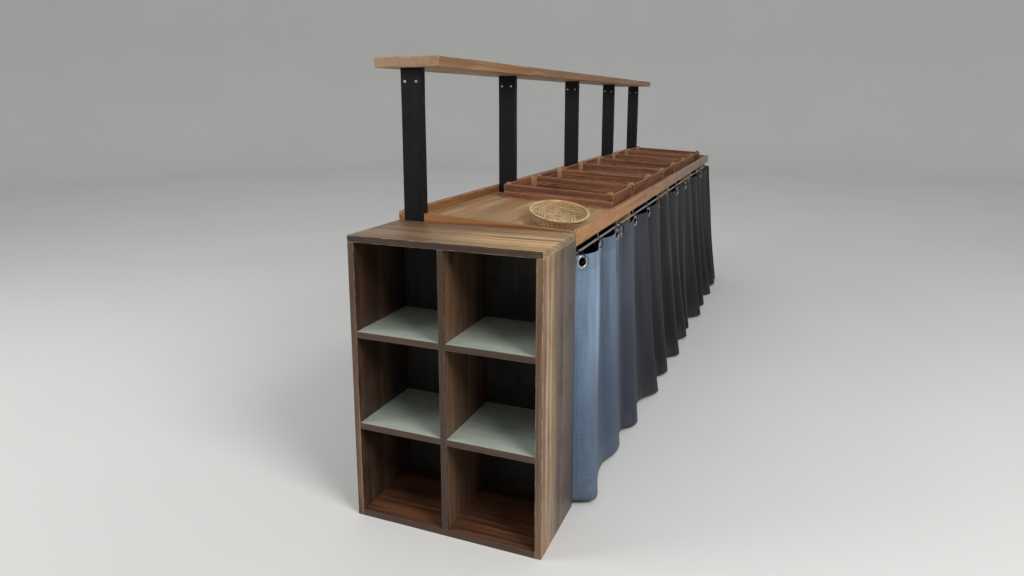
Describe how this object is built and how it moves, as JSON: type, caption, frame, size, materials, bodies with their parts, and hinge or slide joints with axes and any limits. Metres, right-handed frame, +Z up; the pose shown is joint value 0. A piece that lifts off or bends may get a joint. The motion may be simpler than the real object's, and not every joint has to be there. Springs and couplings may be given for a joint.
{
  "type": "shop display island with shelf unit and skirted produce counter",
  "caption": "Long produce counter with sloping deck, crates, cloth skirts and overhead plank on black posts, with an open shelf unit at its near end.",
  "frame": {"origin": "on the floor, in the middle of the whole outline", "axes": "+X to the aisle side that the deck slopes down to, +Y from the shelf unit's open front back along the counter, +Z up"},
  "size_m": [1.04, 4.4774, 1.742],
  "materials": {
    "shelf_oak": "weathered oak boards, satin",
    "shelf_oak_dark": "dark oak boards, satin",
    "back_panel": "black painted panel, matt",
    "lip_wood": "ochre softwood, worn satin",
    "deck_board": "plain pale board, matt",
    "frame_pine": "planed pine, matt",
    "post_black": "black paint over wood, satin",
    "plank_wood": "planed softwood, satin",
    "crate_wood": "brown stained thin boards, matt",
    "basket_wicker": "pale woven willow",
    "rod_steel": "bright drawn wire",
    "denim_cloth": "slate blue plain weave cotton",
    "charcoal_cloth": "charcoal plain weave cotton"
  },
  "bodies": {
    "root": {"unit_side_left": "shelf_oak", "unit_side_right": "shelf_oak", "unit_top": "shelf_oak", "unit_base": "shelf_oak_dark", "unit_divider": "shelf_oak_dark", "shelf_lower_left": "shelf_oak_dark", "shelf_lower_right": "shelf_oak_dark", "shelf_upper_left": "shelf_oak_dark", "shelf_upper_right": "shelf_oak_dark", "unit_back": "back_panel", "lip_aisle": "lip_wood", "lip_rear": "lip_wood", "lip_near_end": "lip_wood", "lip_far_end": "lip_wood", "deck_near": "deck_board", "deck_far": "deck_board", "cross_bearers": "frame_pine", "aisle_legs": "frame_pine", "post_1": "post_black", "post_2": "post_black", "post_3": "post_black", "post_4": "post_black", "post_5": "post_black", "plank_near": "plank_wood", "plank_middle": "plank_wood", "plank_far": "plank_wood", "crate_1": "crate_wood", "crate_2": "crate_wood", "crate_3": "crate_wood", "crate_4": "crate_wood", "crate_5": "crate_wood", "crate_6": "crate_wood", "crate_7": "crate_wood", "oval_basket": "basket_wicker", "skirt_rods": "rod_steel", "screw_eyes": "rod_steel", "skirt_left_near": "denim_cloth", "skirt_left_middle": "charcoal_cloth", "skirt_left_far": "charcoal_cloth", "skirt_right_near": "denim_cloth", "skirt_right_middle": "charcoal_cloth", "skirt_right_far": "charcoal_cloth", "skirt_end": "charcoal_cloth"}
  },
  "joints": []
}
